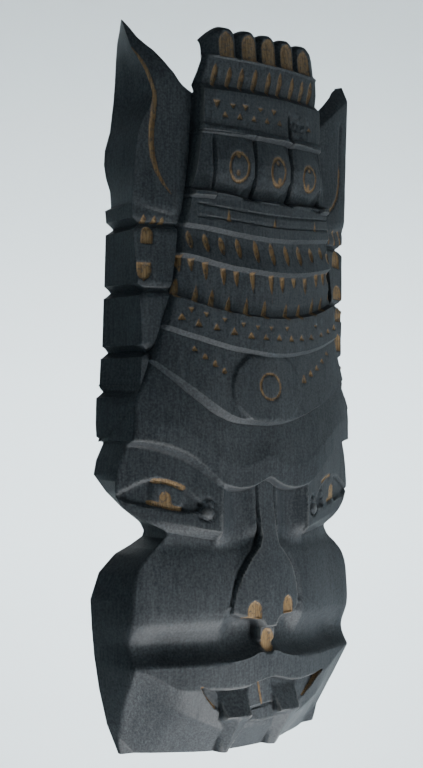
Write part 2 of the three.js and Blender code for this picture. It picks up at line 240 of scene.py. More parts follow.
def knot_height(line, above, x):
    if line in BEVELS and abs(above) <= 1.0:
        above = above * curve(x, BEVELS[line])
    return line_height(line, x) + above


def headdress_depth(x, z):
    """Depth of the stepped headdress, forehead and brow."""
    offset = np.full(np.shape(x), float(PROFILE[0][2]))
    for upper, lower in zip(PROFILE, PROFILE[1:]):
        top, bottom = (knot_height(*knot[:2], x) for knot in (upper, lower))
        share = np.clip((top - z) / np.maximum(top - bottom, 0.05), 0, 1)
        offset += (lower[2] - upper[2]) * share
    depth = dome(x) + offset + fingers(x, z) + panels(x, z) + boss(x, z)
    hollow = smooth(26, 4, np.abs(x + 20)) * smooth(-22, -40, z)
    return depth - 1.3 * hollow


def fingers(x, z):
    """Five rounded fingers with a furrow between each two, ending above the first line."""
    away = nearest(x, FURROWS)
    cut = -3.0 * np.exp(-(away / 1.9) ** 2) - 1.4 * np.exp(-(away / 5.0) ** 2)
    side = -3.5 * smooth(41, 51, np.abs(x))
    return (cut + side) * smooth(229.5, 233, z)


PANEL_LEFT, PANEL_RIGHT = -45.5, 53.5
DIVIDERS = [-12.5, 20.5]
# What is cut away at a cushion's right-hand corners: depth, and points beside its right edge.
CORNERS = [
    (0.9, [(-11, 181), (-8.5, 175.5), (-4.5, 170), (-1.6, 162), (-0.2, 152), (0.1, 152),
           (0.1, 181)]),
    (1.5, [(-13, 131), (-7, 140), (-0.6, 149), (0.1, 149), (0.1, 131)]),
]


def panels(x, z):
    """The sunk bed bulges into three cushions, parted by two furrows and cut back at their
    right-hand corners."""
    bulge = ramp(z, [
        (133, 0.6), (137, 2.4), (142, 5.2), (149, 7.4), (158, 7.8), (168, 6.0), (177, 4.0)])
    plain = ramp(z, [(133, 4.0), (150, 6.5), (177, 3.8)])
    from_left = smooth(PANEL_LEFT - 0.8, PANEL_LEFT + 1.0, x)
    raised = plain + (bulge - plain) * (from_left * smooth(PANEL_RIGHT + 2, PANEL_RIGHT, x))
    for furrow in DIVIDERS:
        across = x - furrow
        raised -= 2.0 * smooth(1.5, 0.2, np.abs(across)) + 1.2 * np.exp(-(across / 3.2) ** 2)
    raised -= 1.6 * smooth(1.5, 0.1, np.abs(x - PANEL_LEFT)) * smooth(180, 172, z)
    for right in DIVIDERS + [PANEL_RIGHT]:
        for depth, corner in CORNERS:
            outline = [(right + aside, height) for aside, height in corner]
            raised -= depth * smooth(-0.5, 0.9, inside_distance(x, z, outline))
    return raised * smooth(178.6, 176.6, z) * smooth(130.6, 132.4, z)


def boss(x, z):
    """A low disc in the middle of the forehead."""
    inside = smooth(-0.9, 0.9, 31.0 - np.hypot(x + 0.5, (z - 0.5) * 1.18))
    between_bands = smooth(25, 22, z) * smooth(-25, -21, z)
    fade = 1 - 0.65 * smooth(5, 28, x)
    return 1.7 * inside * between_bands * fade


# ---- the face below the brow ----

PANEL_FOOT = [(0, -98.5), (38, -98.5), (55, -95.5), (75, -91.5), (92, -88.5), (112, -86)]
VALLEY_EDGE = [
    (-97, -187), (-40, -187.5), (-25, -187), (-14, -185), (-6, -182.5), (1, -183.5), (8, -182.5),
    (14, -185), (25, -188), (40, -189.5), (97, -189),
]
LIP_LINE = [
    (-60, -202), (-51, -203.6), (-45, -206), (-30, -207.6), (-18, -207), (-10, -203.8), (0, -202),
    (8, -201.6), (15, -203.4), (25, -206.4), (35, -207), (50, -205.6), (59, -203), (70, -201),
]
NOSE = [
    (-7.2, -60), (-6.4, -85), (-5.4, -103), (-8, -109.5), (-15, -117.5), (-22, -128),
    (-26.5, -139), (-29, -150), (-28.5, -155), (-22, -157.5), (-14, -158.5), (-9, -160.5),
    (-5, -165.5), (5, -165.5), (8, -160.5), (13, -158), (21, -158), (28, -154.5), (29.5, -146),
    (27.5, -134), (23, -123), (17, -115.5), (11, -109), (9, -100), (7.5, -85), (6.3, -60),
]
NOSE_CROWN = [(-170, 59), (-150, 60.2), (-130, 59.4), (-110, 57.2), (-90, 55.2), (-62, 53)]
SMILE_LEFT = [(-51, -203.8), (-46, -211), (-39, -218.5), (-31, -225)]
SMILE_RIGHT = [(32, -226), (41, -220), (50, -212.5), (59, -203.5)]
MOUTH = (SMILE_LEFT + [(-14, -231), (0, -232.6), (13, -231), (19, -229)] + SMILE_RIGHT
         + LIP_LINE[-3:1:-1])
# How far the cheek, the valley under it and the upper lip lie below the dome.
FACE_DROP = 4.5
CHEEK_DROP = [
    (-210, 4.5), (-188.2, 4.5), (-186.8, 5.4), (-183, 9.6), (-178, 13.6), (-174, 14.6), (-170, 13),
    (-165, 9), (-160, 6), (-155, 5), (-145, 5), (-130, 6.5), (-116, 9), (-107, 11.4), (-100, 11),
    (-60, 10),
]
SCOOP_DROP = [
    (-210, 4.5), (-187.4, 4.5), (-186.4, 5.6), (-182, 11), (-176, 14.6), (-168, 15.4),
    (-162, 13.5), (-157, 8), (-153, 5), (-60, 5),
]
TOOTH_DROP = [(-254, 23.5), (-227, 4.0), (-225.4, 3.8), (-207, 13.8)]
# Left edge, ridge and right edge of each fang at its foot, at its step and at the lip.
TOOTH_HEIGHTS = (-254, -226, -206)
TEETH = [((-24.5, -22, -19.5), (-33.5, -23.5, -13.5), (-36, -24, -13)),
         ((18.5, 22, 25), (11.5, 22.5, 31.5), (9, 22, 33))]


def fangs(x, z, depth):
    """Two fangs: the front of each comes forward down to a step, then runs back to a point."""
    step = TOOTH_HEIGHTS[1]
    front = dome(x) - ramp(z, TOOTH_DROP)
    below_lip = smooth(0.9, -0.9, z - curve(x, LIP_LINE))
    for shape in TEETH:
        left, ridge, right = (ramp(z, list(zip(TOOTH_HEIGHTS, side))) for side in zip(*shape))
        lower = smooth(step + 1, step - 4, z)
        fall = np.maximum(ridge - x, 0) * 0.75 + np.maximum(x - ridge, 0) * 0.3
        surface = front - fall * lower
        edge = np.minimum(x - left, right - x)
        proud = smooth(-1.6, 0.3, edge) * below_lip
        depth = depth + (np.maximum(surface, depth - 1.5) - depth) * proud
    return depth


def face_base(across):
    """How far the upper lip lies below the dome; less towards the sides."""
    return FACE_DROP - 3.3 * smooth(70, 97, across)


def cheek(x, z):
    """The cheek's roll, the valley below it and the lip, scooped deeper beside the nose."""
    across = np.abs(x)
    shifted = z - (curve(x, VALLEY_EDGE) + 187) * smooth(-160, -180, z)
    roll, scoop = curve(shifted, CHEEK_DROP), curve(shifted, SCOOP_DROP)
    drop = scoop + (roll - scoop) * smooth(24, 38, across)
    drop = np.where(z > -150, roll, drop)
    return dome(x) - face_base(across) - (drop - FACE_DROP) * (1 - 0.3 * smooth(70, 97, across))


def jaw(x, z):
    """The lip runs down into a chin that slopes back ever more steeply to the jaw's edge."""
    across = np.abs(x)
    outward = smooth(40, 94, across)
    start = -205 + 15 * smooth(60, 97, across)
    crease = ramp(across, [(0, -236), (28, -236), (60, -222), (90, -205), (110, -198)])
    upper = (0.35 + 0.3 * outward) * np.maximum(start - z, 0)
    lower = 0.6 * (1 - outward) * np.maximum(crease - z, 0)
    return np.maximum(dome(x) - face_base(across) - upper - lower, 3.0 + 0.1 * (z + 254))


def eye_panel(x):
    """Depth of the flat panel that each eye is carved on."""
    return 54.2 - 0.46 * (np.abs(x) - 39)


def nose_surface(x, z):
    """The nose is rounded across and fullest near its tip."""
    return curve(z, NOSE_CROWN) - 0.0074 * (x - 1) ** 2


def face_depth(x, z):
    """Depth of the face, from the brow to the jaw's edge."""
    across = np.abs(x)
    hollow = 54 - 5.5 * np.sin(np.pi * np.clip((across - 8) / 31, 0, 1)) ** 1.3
    side = smooth(-112, -94, z) * (1 - smooth(36, 42, across))
    depth = cheek(x, z) * (1 - side) + hollow * side

    foot = curve(across, PANEL_FOOT)
    level = np.clip((z - foot + 6.2) / 6.6, 0, 1) ** 0.8
    depth += (eye_panel(x) - depth) * level * smooth(36.6, 38.6, across)
    depth += eye(x, z)

    depth = np.where(z < curve(x, VALLEY_EDGE) - 1, jaw(x, z), depth)
    lips = smooth(-0.9, 0.9, inside_distance(x, z, MOUTH))
    depth += (dome(x) - 11.4 - depth) * lips
    depth = fangs(x, z, depth)

    septum = 1 - smooth(6.0, 8.8, np.abs(x - 1.4) + 0.45 * np.maximum(-174 - z, 0))
    septum *= smooth(-186, -182, z) * smooth(-155, -160, z)
    depth += (53.4 - depth) * septum
    return nose_over(x, z, depth)


def nose_over(x, z, depth):
    """The nose. A furrow runs down each side of it: steep against the nose, with a wider slope
    on the cheek side once it flares."""
    edge = inside_distance(x, z, NOSE)
    flared = smooth(-98, -114, z)
    rise = nose_surface(x, z) - 2.6 - 0.36 * np.maximum(-edge, 0)
    rise = np.where(z > -156, rise, -99)
    depth = depth + np.logaddexp(0, (rise - depth) * 1.2) / 1.2 * smooth(-150, -140, z) * flared
    wide = 2.2 + np.where(x > 0, 3.6, 0.3) * flared
    deep = 2.7 + np.where(x > 0, 0.7, -0.9) * flared
    slope = np.clip((-edge - 0.7) / wide, 0, 1)
    furrow = smooth(-160, -153, z) * deep * (1 - slope) * smooth(0.4, -0.8, edge)
    depth = depth - furrow
    return depth + (nose_surface(x, z) - depth) * smooth(-1.0, 0.5, edge)


EYE = [
    (49.5, -80.5), (56, -75), (63, -68), (71, -63.6), (80, -61.6), (89, -63.4), (98, -68),
    (106, -73.4), (98, -77.4), (86, -80), (75, -82.6), (64, -84.6), (54, -84.4),
]


# The knob at the eye's inner end is a ball with a crest: middle, radius and height of each.
KNOB = [(48.5, -85.0, 4.5, 2.4), (47.8, -79.6, 3.1, 1.4)]


def eye(x, z):
    """Offset of the eye on its panel: sunk almond, domed iris and knob."""
    across = np.abs(x)
    almond = smooth(-0.9, 1.0, inside_distance(across, z, EYE))
    iris = smooth(0.3, 1.2, np.minimum(84.0 - across, across - 61.5 - 0.12 * (z + 72) ** 2 / 6))
    offset = -2.6 * almond + 1.5 * iris * almond
    near, knob = np.inf, 0
    for middle_x, middle_z, radius, height in KNOB:
        away = np.hypot(across - middle_x, z - middle_z) / radius
        near = np.minimum(near, (away - 1) * radius)
        knob = np.maximum(knob, height * np.sqrt(np.clip(1 - away**2, 0, 1)))
    trench = 1.2 * np.exp(-((near - 0.9) / 0.9) ** 2)
    offset = offset * smooth(0, 1.2, near) - trench
    return offset + np.where(near < 0, knob + trench - 0.7, 0)


# ---- tan marks: bare wood where a gouge went through the stain ----
# A mark's shape gives how far the point (u, v) from its middle lies inside it, in mm.

# The value of bare for a point that is well away from any mark.
STAINED = -9.0
# A gouge's walls fall this far per millimetre in from its edge.
GOUGE_SLOPE = 0.9


def tooth(u, v, wide, tall):
    """Widest and cut off square at its base, pointed at its tip."""
    along = np.clip((v + tall) / (2 * tall), 0, 1)
    return np.minimum(0.9 * (wide * (1 - along**2.2) - np.abs(u)), 0.7 * (v + tall))


def hanging_tooth(u, v, wide, tall):
    return tooth(u, -v, wide, tall)


def grain_of_rice(u, v, wide, tall):
    past_end = np.abs(v) > tall
    return wide * (1 - np.abs(np.clip(v / tall, -1, 1)) ** 2.6) - np.abs(u) - 9.0 * past_end


def oval(u, v, wide, tall):
    return (1 - np.hypot(u / wide, v / tall)) * min(wide, tall)


def arch(u, v, wide, tall):
    above = np.maximum(v - (tall - 1.3 * wide), 0) / (1.3 * wide)
    return np.minimum(wide * np.sqrt(np.maximum(1 - above**2, 0)) - np.abs(u), v + tall)


def triangle(u, v, wide, tall):
    return np.minimum(0.85 * (wide * (tall - v) / (2 * tall) - np.abs(u)), v + tall)


def down_triangle(u, v, wide, tall):
    return triangle(u, -v, wide, tall)


def ring(u, v, wide, tall):
    line = 1.0
    return line - np.abs(1 - np.hypot(u / (wide - line), v / (tall - line))) * (wide - line)


def row(shape, wide, spans, tilt=0.0, depth=1.3):
    """Marks of one shape from (x, top, bottom) spans."""
    return [(shape, x, (top + bottom) / 2, wide, (top - bottom) / 2, tilt, depth)
            for x, top, bottom in spans]


CORE_MARKS = (
    row(arch, 6.0, [
        (-36, 248.5, 230.6), (-17.5, 249.5, 230.4), (-0.5, 249.8, 230.2), (17, 249.5, 230.4),
        (35, 248, 230.8)], depth=1.1)
    + row(grain_of_rice, 2.2, [
        (-44.5, 226, 208.6), (-33.5, 225, 208.2), (-23.5, 225.5, 208), (-12.5, 226.5, 208),
        (-0.5, 226.5, 207.8), (10, 228, 207.8), (22.5, 227, 208), (33.5, 227, 208),
        (43, 228, 208.4)], tilt=-0.08, depth=1.5)
    + row(down_triangle, 3.0, [
        (-44, 200, 193.5), (-31.5, 198.5, 195), (-21.5, 199, 194.5), (-9, 198.5, 195.3),
        (3, 199, 194.8)])
    + row(triangle, 2.7, [
        (-37.5, 193, 188.4), (-26, 193, 188), (-14.5, 192.6, 188.2), (-3, 193, 188.2),
        (8.5, 192.6, 188.6), (40, 192.5, 189.6)])
    + row(ring, 8.4, [(-27, 165.5, 143.5)], depth=1.2)
    + row(ring, 7.2, [(6.8, 165.5, 144)], depth=1.2)
    + row(ring, 8.0, [(39.5, 164.5, 144.5)], depth=1.2)
    + row(oval, 1.7, [
        (-27.5, 163.5, 160.5), (-28, 152.5, 148), (6, 162, 159), (8, 151, 146.5),
        (39, 161.5, 158.5), (38.5, 151, 146)], depth=0.8)
    + row(triangle, 1.8, [(-35.2, 126, 115.4), (3.2, 122.8, 114.6), (45.8, 126, 116.8)], depth=1.0)
    + row(grain_of_rice, 2.3, [
        (-62, 108.5, 94.5), (-50.5, 107, 93), (-39, 105.5, 91.5), (-26, 105.5, 90),
        (-11.5, 105, 88), (2.5, 104.5, 87), (16.5, 104, 88), (30, 105, 89.5), (43.5, 105, 93.5),
        (56.5, 107.5, 97.5), (65.5, 104, 95)], tilt=0.16, depth=1.6)
    + row(hanging_tooth, 2.3, [
        (-68.5, 91, 78.5), (-60, 89, 79.5), (-50, 87, 73.5), (-36.5, 83.5, 70), (-26.5, 82, 70),
        (-13.5, 82, 66.5), (3, 81, 66.5), (13.5, 80.5, 68.5), (25.5, 81, 73), (38, 82, 69.5),
        (51.5, 86.5, 75.5), (61, 88, 78.5), (68, 89.5, 80.5)], tilt=0.07, depth=1.5)
    + row(tooth, 2.3, [
        (-70.5, 76, 61.5), (-57, 71, 58.5), (-45.5, 69, 55.5), (-33, 64, 52.5), (-19, 64, 50.5),
        (-3.5, 64, 49.5), (17, 63, 50), (31, 64, 51.5), (46.5, 69, 55), (58, 71, 59.5),
        (70, 78, 69)], tilt=-0.07, depth=1.5)
    + row(triangle, 3.0, [
        (-68.5, 51.5, 46), (-57, 47.5, 41.8), (-44, 45.5, 39.8), (-31, 42.6, 37),
        (-17.5, 40.4, 35), (-5, 39.2, 34.6), (7.2, 39.8, 34.8), (19.5, 39.8, 34.6),
        (30.5, 40.8, 36), (41.5, 42, 37.4), (54, 44, 40.4), (63.5, 47.6, 43.6), (72, 51.4, 46.6)])
    + row(down_triangle, 2.2, [
        (-62, 55, 51), (-51.5, 52, 48), (-38, 48.6, 45), (-24, 46, 42.4), (-12, 44.6, 41),
        (0, 44.4, 41), (15, 45, 41.4), (47, 48.6, 46.4)], depth=0.8)
    + row(triangle, 2.8, [
        (-58, 29.4, 25.2), (-50.8, 24.6, 19.8), (-43.8, 20.4, 14.8), (-37, 15.2, 10.2)])
    + row(triangle, 3.2, [
        (35, 12.8, 5.6), (43, 16, 10.6), (50.8, 20, 15.4), (58, 25.2, 21), (65, 31, 27.4)])
    + row(ring, 10.0, [(-0.5, 12, -8)], depth=1.2)
    + row(arch, 5.4, [(-13.5, -147, -159.5), (16.5, -145, -157.5)], depth=1.6)
    + row(oval, 6.2, [(1.6, -166.8, -183.8)], tilt=0.15, depth=1.5)
    + row(arch, 3.8, [(-74.5, -70.2, -80)], tilt=0.1, depth=0.7)
    + row(arch, 4.6, [(79.5, -68.8, -78.6)], tilt=-0.1, depth=0.7)
)

TAN_LINES = [
    (SMILE_LEFT[:3], 1.2), (SMILE_RIGHT[1:], 0.8), ([(-3.4, -204), (-1.6, -213), (0, -220)], 0.9),
    ([(-84.5, -77.6), (-78, -79.4), (-70, -81.6), (-64.5, -82.4)], 1.7),
    ([(-82, -63), (-75, -63.4), (-68, -65.8), (-63.5, -68.2)], 1.9),
    ([(62, -66.6), (68, -63.4), (76, -62)], 1.3), ([(72, -80.6), (80, -78.4)], 1.3),
]
DARK_LINES = [
    ([(-12.5, -222.6), (0, -221.2), (8.5, -220.2)], 1.1),
    ([(-57, 127), (-40, 124.8), (-20, 123.4), (0, 122.6), (20, 123.2), (40, 125),
      (63, 127.8)], 0.9),
    ([(-57, 118), (-40, 117.2), (-20, 116.2), (0, 115), (20, 116), (40, 117.4),
      (66, 120.4)], 0.9),
]


def gouged(x, z, depth, marks, tan_lines, dark_lines=()):
    """The surface with its marks cut in, and how far each point lies inside bare wood."""
    inside = np.full(np.shape(x), STAINED)
    cut = np.zeros(np.shape(x))
    for shape, mx, mz, wide, tall, tilt, deepest in marks:
        near = (np.abs(x - mx) < 3 * wide + 3) & (np.abs(z - mz) < 1.6 * tall + 3)
        dx, dz = x[near] - mx, z[near] - mz
        u = dx * math.cos(tilt) + dz * math.sin(tilt)
        v = dz * math.cos(tilt) - dx * math.sin(tilt)
        edge = shape(u, v, wide, tall)
        inside[near] = np.maximum(inside[near], edge)
        cut[near] = np.maximum(cut[near], np.clip(GOUGE_SLOPE * edge + 0.25, 0, deepest))
    for points, half in tan_lines:
        edge = half - line_distance(x, z, points)
        inside = np.maximum(inside, edge)
        cut = np.maximum(cut, np.clip(GOUGE_SLOPE * edge + 0.3, 0, 1.1))
    for points, half in dark_lines:
        cut = np.maximum(cut, np.clip(1.1 * (half - line_distance(x, z, points)) + 0.2, 0, 1.0))
    return depth - cut, inside


def splintered(x, z):
    """A chipped patch at the right of the triangle row, deepest in a split beside it."""
    patch = smooth(15, 6, np.hypot((x - 27) / 1.1, (z - 191) / 0.8))
    rough = 0.9 * noise(x, z, 2.2, 1.6, 11) + 0.7 * noise(x, z, 4.5, 3.0, 12) - 0.5
    split = smooth(1.9, 0.3, np.abs(x - 19 - 0.06 * (190 - z))) * smooth(177, 182, z)
    split *= smooth(201, 196, z)
    pit = smooth(4.5, 1.5, np.hypot(x - 25, (z - 191.5) * 0.7))
    return rough * patch - 2.2 * split - 2.0 * pit


def chiselled(x, z):
    """Faint tool marks all over, longer along the grain."""
    strokes = 0.16 * noise(x, z, 3.4, 24.0, 3) + 0.1 * noise(x, z, 1.7, 9.0, 4)
    return strokes + 0.35 * noise(x, z, 17.0, 34.0, 5)


# How far the headdress's front turns down at its sides.
EDGE_DROP = [(-10, 0), (20, 1.5), (66, 3), (110, 4.5), (150, 9), (180, 11), (206, 8), (230, 3)]


def core_depth(x, z):
    """Depth of the core's front, before its marks are cut."""
    upper = headdress_depth(x, z)
    brow = line_height("brow", x)
    half = curve(x, BEVELS["brow"])
    below = smooth(1, -1, (z - brow) / half)
    depth = upper + (face_depth(x, z) - upper) * below
    depth += splintered(x, z)
    edge = curve(z, FRONT_HALF) - np.abs(x)
    return depth - (ramp(z, EDGE_DROP) * (1 - smooth(0, 3.2, edge))
                    + 0.6 * (1 - smooth(0, 1.2, edge)))


# ---- meshes ----

SIDE_STEPS = 10
BACK_STEPS = 4
FRONT_COLUMNS = 160
WIDTH_GUESS, WIDTH_TURNS = 90, 12
# Points of the back's outline that are closer than this count as one, in mm, and points of a
# mesh that are closer than this are merged, in m.
LEAST_GAP = 0.004
MERGE_GAP = 2e-6
SHARP_WOOD, SHARP_STEEL = 32, 35
POCKET_CORNERS = [(-21, 194), (21, 194), (21, 122), (-21, 122)]
POCKET_DEPTH = 9


def linked_object(name, mesh, work, sharp):
    """Turns a bmesh's faces outward and links it as an object, smooth but for edges that turn
    by more than an angle in degrees."""
    bmesh.ops.recalc_face_normals(work, faces=work.faces)
    if work.calc_volume(signed=True) < 0:
        bmesh.ops.reverse_faces(work, faces=work.faces)
    work.to_mesh(mesh)
    work.free()
    mesh.shade_smooth()
    mesh.set_sharp_from_angle(angle=math.radians(sharp))
    piece = bpy.data.objects.new(name, mesh)
    bpy.context.collection.objects.link(piece)
    return piece


def carved_object(name, points, faces):
    """A carved piece from (x, z, depth, bare, wear_highlight_and_shade) points in mm. The bare
    wood of the gouges is painted darker towards the top of the mask, as shade."""
    x, z, depth, bare, wear_highlight_and_shade = points.T
    # Painted shade: less bare wood shows in the gouges towards the top of the mask.
    painted_light_by_height = ramp(z, [(-254, 1.0), (-60, 0.95), (60, 0.8), (180, 0.72), (254, 0.5)])
    mesh = bpy.data.meshes.new(name)
    mesh.from_pydata((np.column_stack([x, -depth, z]) * MM).tolist(), [], faces)
    for layer, values in (("bare", bare), ("wear_highlight_and_shade", wear_highlight_and_shade), ("painted_light_by_height", painted_light_by_height)):
        attribute = mesh.attributes.new(layer, "FLOAT", "POINT")
        attribute.data.foreach_set("value", np.asarray(values, np.float32))
    work = bmesh.new()
    work.from_mesh(mesh)
    bmesh.ops.remove_doubles(work, verts=work.verts, dist=MERGE_GAP)
    return linked_object(name, mesh, work, SHARP_WOOD)


def strip(x, z, depth, bare=STAINED, wear_highlight_and_shade=0.0):
    """Rows of (x, z, depth, bare, wear_highlight_and_shade) points."""
    return np.stack(np.broadcast_arrays(x, z, depth, bare, wear_highlight_and_shade), axis=-1)


def standing_out(depth):
    """How far each grid point stands out from its neighbours up to two away, in mm."""
    rows, columns = depth.shape
    padded = np.pad(depth, 2, mode="edge")
    total = np.zeros_like(depth)
    for i in range(5):
        for j in range(5):
            total += padded[i:i + rows, j:j + columns]
    return depth - total / 25


def rear(z):
    """Depth of the back itself: flat, then sloping forward behind the headdress."""
    return REAR_SLOPE * np.maximum(z - REAR_START, 0)


def side_wall(half, z, depth):
    """A strip from each row's front edge to the back: along the flank to the seam and straight
    back, or slanting inward above the notch beside the ear."""
    flank = ramp(z, [(-37, 107), (-20, 105.5), (0, 104), (30, 103)])
    back = np.where(z > 30, half, np.where(z > -37, np.maximum(flank, half), ramp(z, BACK_HALF)))
    seam = np.where(z > -60, ramp(z, SEAM) - GLUE_GAP / 2, back)
    meet = np.minimum(back, np.maximum(seam, half))
    share = np.where(back - half > 0.02, (meet - half) / np.maximum(back - half, 0.02), 0)
    above = z > NOTCH_FLOOR
    turned_in = (HEADDRESS_HALF - HEADDRESS_TAPER * (z - NOTCH_FLOOR)
                 - (HEADDRESS_SIDE_DEPTH - rear(z)) / UNDERCUT_SLOPE)
    meet_depth = np.where(above, rear(z), depth * (1 - share))
    meet = np.where(above, turned_in, meet)

    half, z, depth, meet, meet_depth = (
        column[:, None] for column in (half, z, depth, meet, meet_depth))
    t = np.linspace(0, 1, SIDE_STEPS + 1)[1:]
    u = np.linspace(0, 1, BACK_STEPS + 1)[1:]
    return np.concatenate([
        strip(half + (meet - half) * t, z, depth + (meet_depth - depth) * t),
        strip(meet, z, meet_depth + (rear(z) - meet_depth) * u),
    ], axis=1)


def quads(index):
    """Faces of a grid of point numbers."""
    corners = (index[:-1, :-1], index[1:, :-1], index[1:, 1:], index[:-1, 1:])
    return np.stack(corners, -1).reshape(-1, 4).tolist()


def wrap(grid, first, back_depth, steps, slope_start, pocket=False):
    """Closes a grid of points whose rows run over the left side, the front (from the column
    numbered first to as many from the end) and the right side. Its top and bottom are carried
    to the back in as many steps as the sides have, and the back is filled, round the pocket if
    there is one."""
    rows, columns, layers = grid.shape
    index = np.arange(rows * columns).reshape(rows, columns)
    faces = quads(index)
    points = grid.reshape(-1, layers)
    front = slice(first, columns - first)
    rims = []
    for edge in (0, -1):
        near = grid[edge, front]
        far = near.copy()
        far[:, 0] = np.linspace(grid[edge, 0, 0], grid[edge, -1, 0], len(near))
        far[:, 2] = back_depth(near[:, 1])
        t = np.linspace(0, 1, steps + 1)[1:, None, None]
        cap = near + (far - near) * t
        numbers = len(points) + np.arange(steps * len(near)).reshape(steps, -1)
        faces += quads(np.vstack([index[edge, front], numbers]))
        points = np.concatenate([points, cap.reshape(-1, layers)])
        rims.append(numbers[-1])

    def apart(i, j):
        return math.dist(points[i, :2], points[j, :2]) > LEAST_GAP

    loop = []
    for i in np.concatenate([rims[0], index[:, -1], rims[1][::-1], index[::-1, 0]]).tolist():
        if not loop or apart(i, loop[-1]):
            loop.append(i)
    if not apart(loop[0], loop[-1]):
        loop.pop()

    def fill(*loops):
        outlines = [[Vector((*points[i, :2], 0)) for i in numbers] for numbers in loops]
        numbers = [i for loop in loops for i in loop]
        return [[numbers[i] for i in face] for face in tessellate_polygon(outlines)]

    slope = [i for i in loop if points[i, 1] >= slope_start]
    turn = next(k for k, i in enumerate(slope)
                if points[loop[(loop.index(i) + 1) % len(loop)], 1] < slope_start)
    slope = slope[turn + 1:] + slope[:turn + 1]
    flat = [i for i in loop if i not in set(slope[1:-1])]
    if not pocket:
        return points, faces + fill(slope) + fill(flat)
    corners = len(POCKET_CORNERS)
    rim = list(range(len(points), len(points) + corners))
    floor = [i + corners for i in rim]
    x, z = np.transpose(POCKET_CORNERS)
    points = np.concatenate([points, strip(x, z, 0.0), strip(x, z, POCKET_DEPTH)])
    faces += fill(slope) + fill(flat, rim) + [floor[::-1]]
    for i in range(corners):
        j = (i + 1) % corners
        faces.append([rim[i], rim[j], floor[j], floor[i]])
    return points, faces


# ---- the core ----

def core_rows():
    """Each row of the core's front, as a function giving its height at x."""
    def knot(line, above):
        return lambda x: knot_height(line, above, x)

    def beside(points, above):
        return lambda x: curve(x, points) + above

    def foot(above):
        return lambda x: curve(np.abs(x), PANEL_FOOT) + above

    # Each stop's height, and the spacing of the rows down to the next stop.
    stops = [(knot(line, above), spacing) for line, above, _, spacing in PROFILE] + [
        (knot("brow", -1.0), 1.05), (foot(0.4), 0.9), (foot(-6.2), 1.1),
        (lambda x: -157.0 + 0 * x, 0.95),
        (beside(VALLEY_EDGE, 1.2), 0.6), (beside(VALLEY_EDGE, -0.5), 1.1),
        (beside(LIP_LINE, 0.9), 0.5), (beside(LIP_LINE, -0.9), 1.05),
        (lambda x: -254 + 2.6 * (x / 88) ** 2, 0),
    ]
    rows = []
    probes = np.linspace(-60, 60, 13)
    for (upper, spacing), (lower, _) in zip(stops, stops[1:]):
        gap = np.mean(upper(probes) - lower(probes))
        count = max(1, int(round(gap / spacing)))
        for i in range(count):
            rows.append(lambda x, upper=upper, lower=lower, t=i / count:
                        upper(x) * (1 - t) + lower(x) * t)
    return rows + [stops[-1][0]]


def core():
    across = np.linspace(-1, 1, FRONT_COLUMNS + 1)
    x, z = [], []
    for height_at in core_rows():
        # A row's width depends on its height there, so it is found by going round a few times.
        here = across * WIDTH_GUESS
        for _ in range(WIDTH_TURNS):
            here = across * curve(height_at(here), FRONT_HALF)
        x.append(here)
        z.append(height_at(here))
    x, z = np.stack(x), np.minimum.accumulate(z, axis=0)
    plain = core_depth(x, z)
    depth, inside = gouged(x, z, plain, CORE_MARKS, TAN_LINES, DARK_LINES)
    depth = depth + chiselled(x, z)

    left, right = (side_wall(np.abs(x[:, edge]), z[:, edge], depth[:, edge]) for edge in (0, -1))
    left[..., 0] *= -1
    # How far each point stands out sets its rubbed edge, partly a painted highlight, and its
    # painted shade in hollows.
    grid = np.concatenate(
        [left[:, ::-1], strip(x, z, depth, inside, standing_out(plain)), right], axis=1)
    points, faces = wrap(grid, left.shape[1], rear, SIDE_STEPS, REAR_START, pocket=True)
    return carved_object("carved_core", points, faces)


# ---- ear wings: -1 is the left one, 1 the right one ----

LEAF_STOPS = {-1: (254, 236), 1: (238, 232)}
LEAF_THINNING = {-1: 0.0, 1: 0.75}
WING_COLUMNS = 40
WING_SIDE_STEPS = 16
WING_GROOVES = {-1: [111.2, 66.5, 24.8, -2.2], 1: [109.4, 66.5, 24.6, 1.6]}
GROOVE_REACH = 4.2
WING_FRONT_HALF = {
    -1: [
        (-37, 103), (-34, 99), (-30, 98), (164, 97.5), (174, 96), (184, 92), (192, 88),
        (200, 85.6), (210, 88.2), (219, 91.4), (226, 95.2), (233, 99), (240, 100), (254, 100.6)],
    1: [(-37, 103), (-34, 99), (-30, 98), (238, 97.6), (257, 97.6)],
}
BARS_BACK_HALF = [
    (-37, 104), (-33, 107), (-24, 107.6), (0, 107), (3, 104.5), (24, 103.6), (27, 102.5),
    (65, 101.4), (68, 101), (108, 100), (112, 99.2), (124, 100.6),
]
WING_BACK_HALF = {
    -1: BARS_BACK_HALF + [
        (126.5, 95.6), (138, 96.6), (147, 100), (156, 101.6), (166, 101), (180, 96.8), (202, 93.9),
        (214, 92.9), (232, 92), (244, 91), (254, 89)],
    1: BARS_BACK_HALF + [
        (128, 95.6), (138, 96.6), (147, 100), (156, 101.6), (166, 101), (180, 98), (200, 96),
        (238, 95)],
}
LEAF_INNER = {
    -1: [
        (206, 57.2), (209.5, 62.8), (219, 71), (231, 82), (240.5, 92.4), (248.4, 96.6),
        (254, 100)],
    1: [(206, 57.2), (213, 66), (226, 80), (235, 89.6), (238, 96.5)],
}
GROOVE_DEPTH = [
    (2, 34.5), (20, 35.6), (40, 38), (66, 42.5), (110, 43), (135, 42.6), (165, 40.4), (206, 40),
]
LEAF_END = {-1: [(60, 117), (78, 119.5), (95, 124), (110, 129)],
            1: [(60, 117.5), (68, 119.5), (80, 122.5), (93, 126.5), (110, 137)]}
